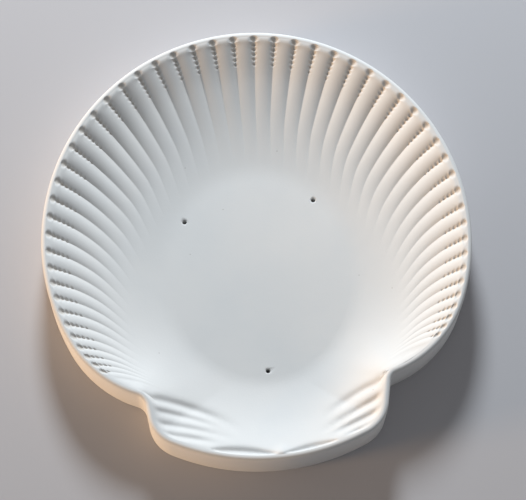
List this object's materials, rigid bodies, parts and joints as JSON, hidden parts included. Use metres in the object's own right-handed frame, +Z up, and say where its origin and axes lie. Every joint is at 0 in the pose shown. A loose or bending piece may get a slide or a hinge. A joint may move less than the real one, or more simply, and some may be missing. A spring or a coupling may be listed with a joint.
{
  "type": "shell shaped platter",
  "caption": "Shallow scallop-shell platter in matt white bisque, with a fluted wall, a smooth rounded lip, small ears at the hinge and drilled vent holes in its floor.",
  "frame": {"origin": "centre of the outline's box, on the plane that the base ring stands on", "axes": "+Z up out of the bowl, +Y towards the top of the fan, +X to the right with the hinge nearest"},
  "size_m": [0.2876, 0.2996, 0.036],
  "materials": {
    "bisque": "matt unglazed"
  },
  "bodies": {
    "root": {"shell_platter": "bisque"}
  },
  "joints": []
}
